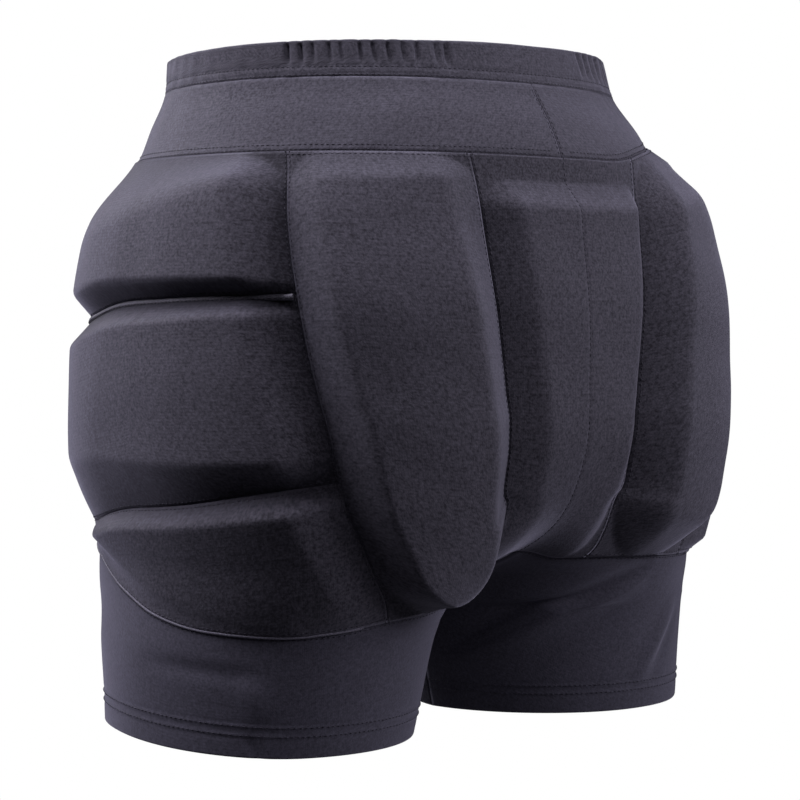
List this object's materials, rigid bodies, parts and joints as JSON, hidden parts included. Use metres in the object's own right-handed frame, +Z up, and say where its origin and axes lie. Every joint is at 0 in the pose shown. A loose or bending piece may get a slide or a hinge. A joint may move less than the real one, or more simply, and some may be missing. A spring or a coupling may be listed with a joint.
{
  "type": "padded protective shorts",
  "caption": "Close-fitting dark knit shorts with foam pads over the hips, the seat and the tailbone, an elastic waistband and turned-up leg hems.",
  "frame": {"origin": "middle of the waist, at the level where the waistband sits on the body", "axes": "+Z up through the waist opening, -Y the way the wearer faces, +X to the wearer's left"},
  "size_m": [0.3894, 0.2804, 0.3668],
  "materials": {
    "cloth": "matt",
    "band": "matt",
    "pad": "matt"
  },
  "bodies": {
    "root": {"waistband": "band", "yoke_left": "band", "yoke_right": "band", "centre_back_panel": "cloth", "back_panel_left": "cloth", "back_panel_right": "cloth", "side_panel_left": "cloth", "side_panel_right": "cloth", "front_panel_left": "cloth", "front_panel_right": "cloth", "leg_left": "cloth", "leg_right": "cloth", "hem_left": "cloth", "hem_right": "cloth", "hip_pad_upper_left": "pad", "hip_pad_upper_right": "pad", "hip_pad_middle_left": "pad", "hip_pad_middle_right": "pad", "hip_pad_lower_left": "pad", "hip_pad_lower_right": "pad", "buttock_pad_left": "pad", "buttock_pad_right": "pad", "tailbone_pad": "pad"}
  },
  "joints": []
}
